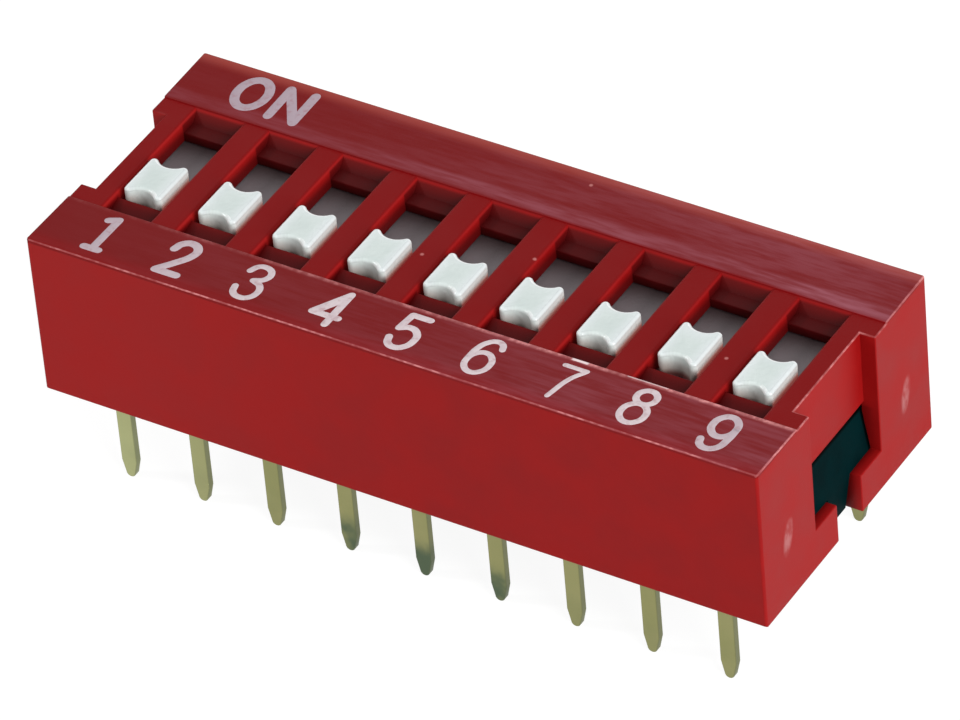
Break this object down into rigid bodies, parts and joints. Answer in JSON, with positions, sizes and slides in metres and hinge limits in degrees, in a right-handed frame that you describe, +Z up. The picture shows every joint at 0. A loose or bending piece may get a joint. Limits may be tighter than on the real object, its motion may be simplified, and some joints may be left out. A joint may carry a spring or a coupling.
{
  "type": "dip switch",
  "caption": "Slide DIP switch: white slide knobs in a slotted red cover, numbered on one side and marked ON on the other, over a dark latched base with flat through-hole pins.",
  "frame": {"origin": "middle of the seating plane, where the cover's rim meets the circuit board, between the pin rows", "axes": "+X along the row of positions, from 1 to 9; +Y from the numbered side to the ON side; +Z up, out of the deck"},
  "size_m": [0.0242, 0.0098, 0.0091],
  "materials": {
    "cover": "satin moulded",
    "base": "satin moulded",
    "slider": "glossy moulded",
    "contact_spring": "bright rolled",
    "terminal": "plated, dull"
  },
  "bodies": {
    "housing": {"cover": "cover", "base": "base", "front_terminal_1": "terminal", "front_terminal_2": "terminal", "front_terminal_3": "terminal", "front_terminal_4": "terminal", "front_terminal_5": "terminal", "front_terminal_6": "terminal", "front_terminal_7": "terminal", "front_terminal_8": "terminal", "front_terminal_9": "terminal", "rear_terminal_1": "terminal", "rear_terminal_2": "terminal", "rear_terminal_3": "terminal", "rear_terminal_4": "terminal", "rear_terminal_5": "terminal", "rear_terminal_6": "terminal", "rear_terminal_7": "terminal", "rear_terminal_8": "terminal", "rear_terminal_9": "terminal"},
    "position_1": {"slider_1": "slider", "contact_spring_1": "contact_spring"},
    "position_2": {"slider_2": "slider", "contact_spring_2": "contact_spring"},
    "position_3": {"slider_3": "slider", "contact_spring_3": "contact_spring"},
    "position_4": {"slider_4": "slider", "contact_spring_4": "contact_spring"},
    "position_5": {"slider_5": "slider", "contact_spring_5": "contact_spring"},
    "position_6": {"slider_6": "slider", "contact_spring_6": "contact_spring"},
    "position_7": {"slider_7": "slider", "contact_spring_7": "contact_spring"},
    "position_8": {"slider_8": "slider", "contact_spring_8": "contact_spring"},
    "position_9": {"slider_9": "slider", "contact_spring_9": "contact_spring"}
  },
  "joints": [
    {"name": "slide_1", "type": "slide", "parent": "housing", "child": "position_1", "axis": [0, 1, 0], "range_m": [0, 0.00184]},
    {"name": "slide_2", "type": "slide", "parent": "housing", "child": "position_2", "axis": [0, 1, 0], "range_m": [0, 0.00184]},
    {"name": "slide_3", "type": "slide", "parent": "housing", "child": "position_3", "axis": [0, 1, 0], "range_m": [0, 0.00184]},
    {"name": "slide_4", "type": "slide", "parent": "housing", "child": "position_4", "axis": [0, 1, 0], "range_m": [0, 0.00184]},
    {"name": "slide_5", "type": "slide", "parent": "housing", "child": "position_5", "axis": [0, 1, 0], "range_m": [0, 0.00184]},
    {"name": "slide_6", "type": "slide", "parent": "housing", "child": "position_6", "axis": [0, 1, 0], "range_m": [0, 0.00184]},
    {"name": "slide_7", "type": "slide", "parent": "housing", "child": "position_7", "axis": [0, 1, 0], "range_m": [0, 0.00184]},
    {"name": "slide_8", "type": "slide", "parent": "housing", "child": "position_8", "axis": [0, 1, 0], "range_m": [-0.0002, 0.00164]},
    {"name": "slide_9", "type": "slide", "parent": "housing", "child": "position_9", "axis": [0, 1, 0], "range_m": [0, 0.00184]}
  ]
}
